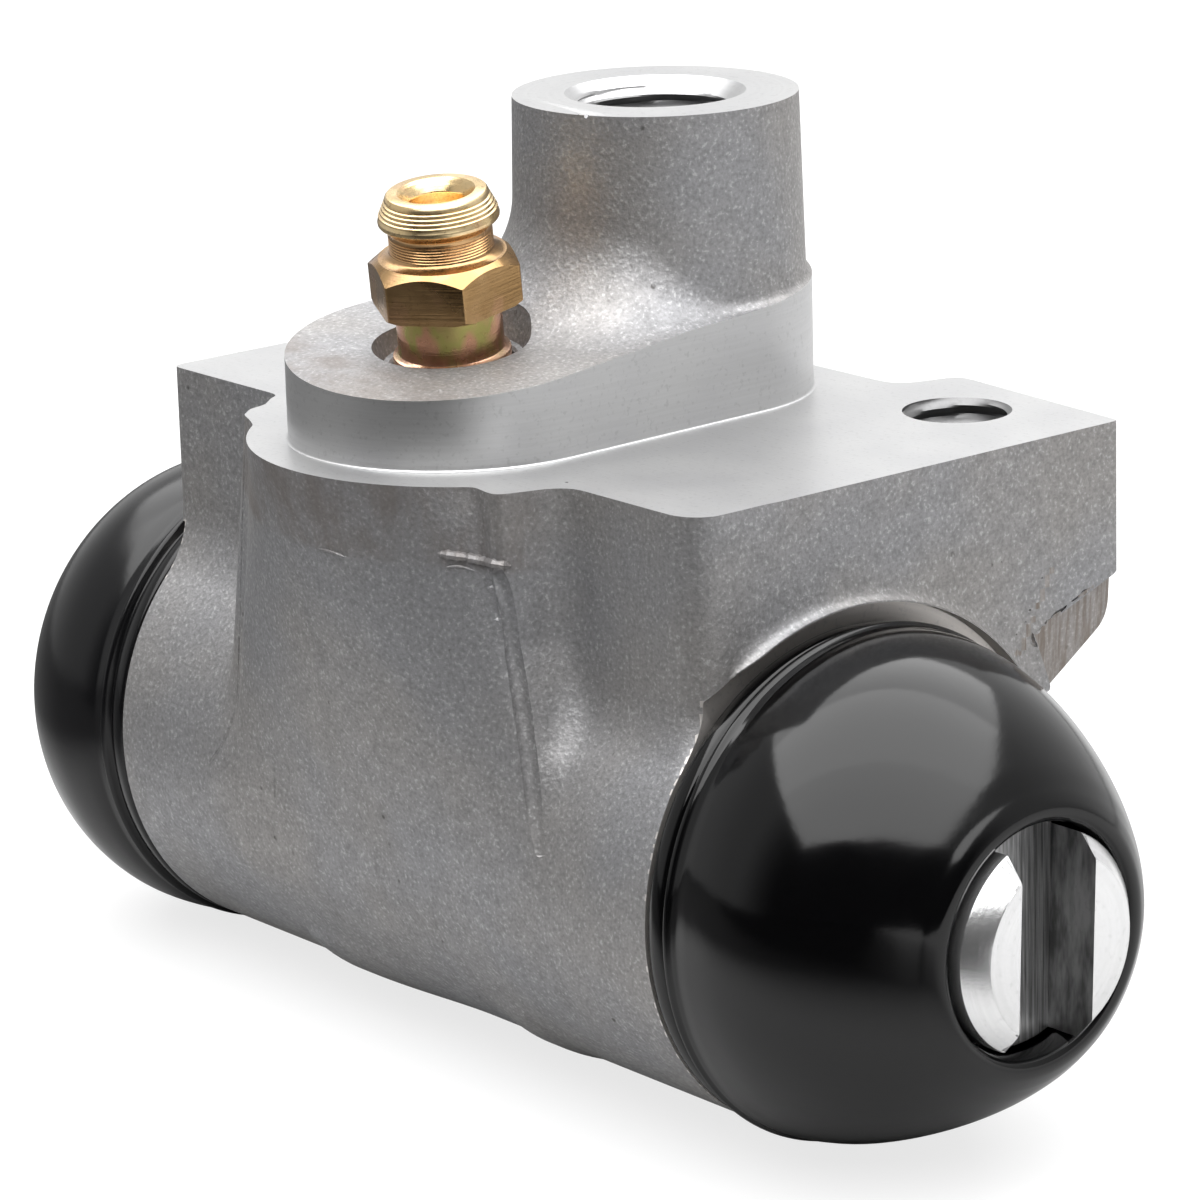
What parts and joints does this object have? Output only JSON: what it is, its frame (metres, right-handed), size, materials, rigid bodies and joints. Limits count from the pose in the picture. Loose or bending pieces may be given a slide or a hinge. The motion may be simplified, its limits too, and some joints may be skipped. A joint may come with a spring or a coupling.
{
  "type": "drum brake wheel cylinder",
  "caption": "Double-ended hydraulic wheel cylinder for a drum brake, with a cast flange, an inlet tower, a bleeder screw and domed rubber boots round slotted piston noses.",
  "frame": {"origin": "centre of the machined mounting face, straight above the middle of the bore; the point itself is in the root of the oval boss", "axes": "+X along the bore towards the front piston, +Z square to the mounting face and out of it, along the inlet tower; the bleeder screw is on the -Y side and the inlet on the +Y side"},
  "size_m": [0.0998, 0.0493, 0.0652],
  "materials": {
    "cast_aluminium": "as cast, satin",
    "yellow_zinc_steel": "turned, yellow zinc chromate",
    "boot_rubber": "smooth, glossy",
    "turned_aluminium": "turned, bright",
    "seal_rubber": "matt",
    "spring_steel": "plain steel"
  },
  "bodies": {
    "housing": {"cylinder_body": "cast_aluminium", "boot_front": "boot_rubber", "boot_rear": "boot_rubber", "return_spring": "spring_steel"},
    "front_piston": {"piston_front": "turned_aluminium", "cup_seal_front": "seal_rubber", "cup_expander_front": "spring_steel"},
    "rear_piston": {"piston_rear": "turned_aluminium", "cup_seal_rear": "seal_rubber", "cup_expander_rear": "spring_steel"},
    "bleeder": {"bleeder_screw": "yellow_zinc_steel"}
  },
  "joints": [
    {"name": "front_piston_slide", "type": "slide", "parent": "housing", "child": "front_piston", "axis": [1, 0, 0], "range_m": [-0.007, 0.003], "stiffness_N_per_m": 300, "deforming": ["return_spring"]},
    {"name": "rear_piston_slide", "type": "slide", "parent": "housing", "child": "rear_piston", "axis": [-1, 0, 0], "range_m": [-0.007, 0.003], "stiffness_N_per_m": 300, "deforming": ["return_spring"]},
    {"name": "bleeder_turn", "type": "hinge", "parent": "housing", "child": "bleeder", "pos_m": [0.0001, -0.0087, 0.0072], "axis": [0.076, -0.1371, 0.9876], "range_deg": [0, 360]}
  ]
}
